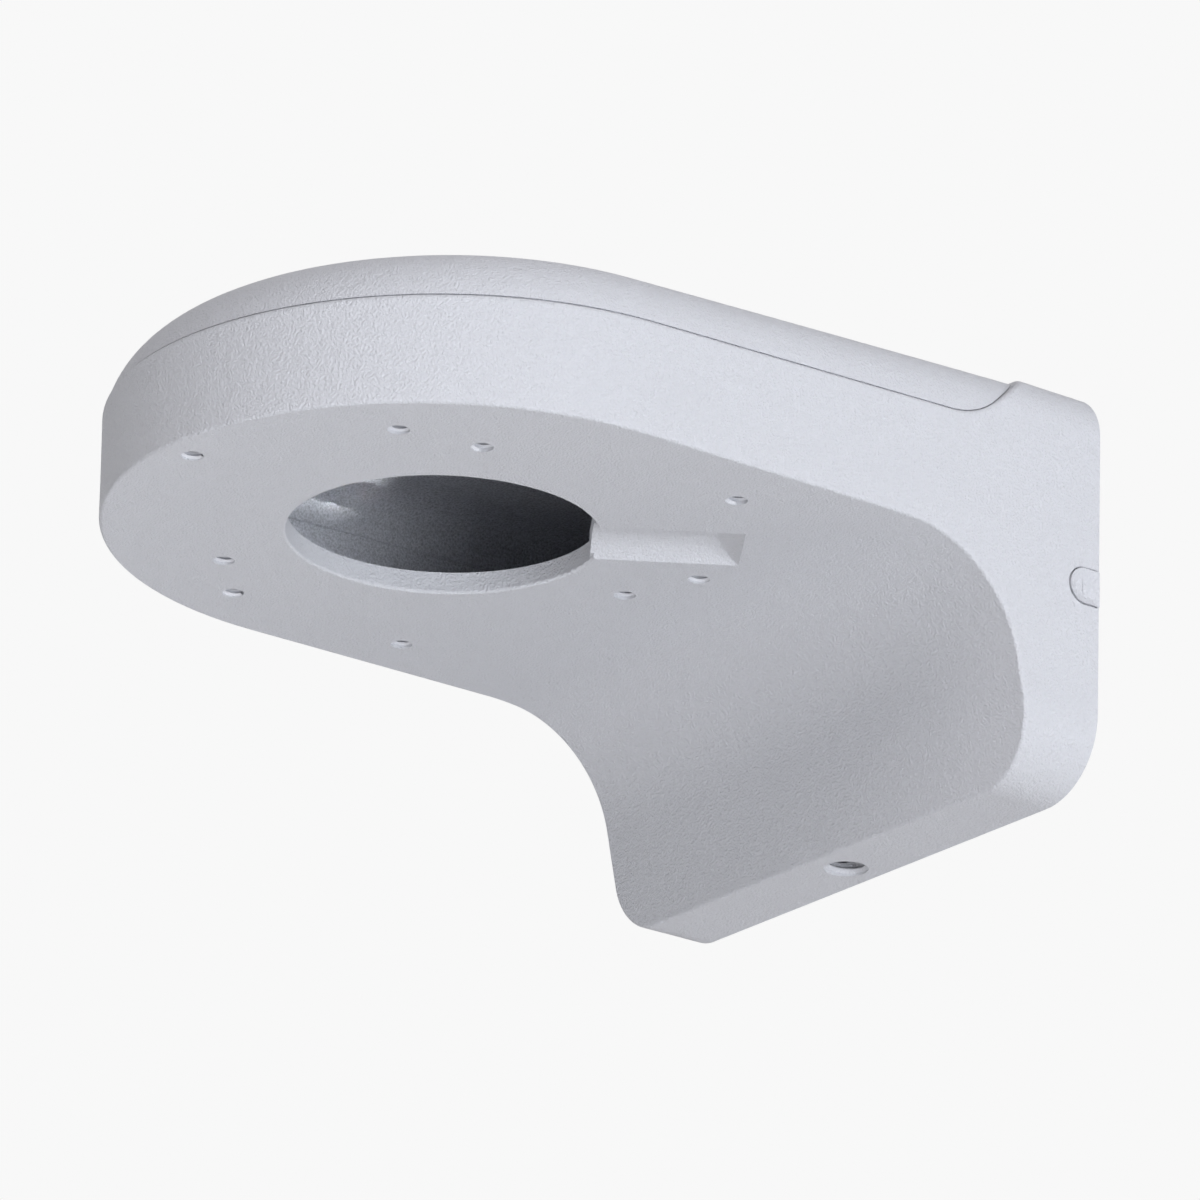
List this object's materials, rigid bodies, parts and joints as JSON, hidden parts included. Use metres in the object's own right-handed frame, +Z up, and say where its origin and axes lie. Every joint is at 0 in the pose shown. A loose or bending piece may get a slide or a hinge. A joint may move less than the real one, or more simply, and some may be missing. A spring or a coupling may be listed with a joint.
{
  "type": "camera wall bracket",
  "caption": "Cast wall bracket that carries a small dome camera under a round-nosed hollow arm, with a screwed top cover and cable passages to the wall.",
  "frame": {"origin": "on the wall plane, in the middle of the bracket's width, at the height of the arm's underside", "axes": "+X right when looking at the wall, +Y into the wall, +Z up; the arm stands out towards -Y"},
  "size_m": [0.1224, 0.1609, 0.0763],
  "materials": {
    "body_coat": "light grey-white powder coat with a fine orange-peel grain on die-cast aluminium",
    "cover_coat": "light grey-white powder coat with a fine orange-peel grain on die-cast aluminium",
    "screw_steel": "plain stainless steel"
  },
  "bodies": {
    "root": {"bracket_body": "body_coat", "top_cover": "cover_coat", "cover_screws": "screw_steel"}
  },
  "joints": []
}
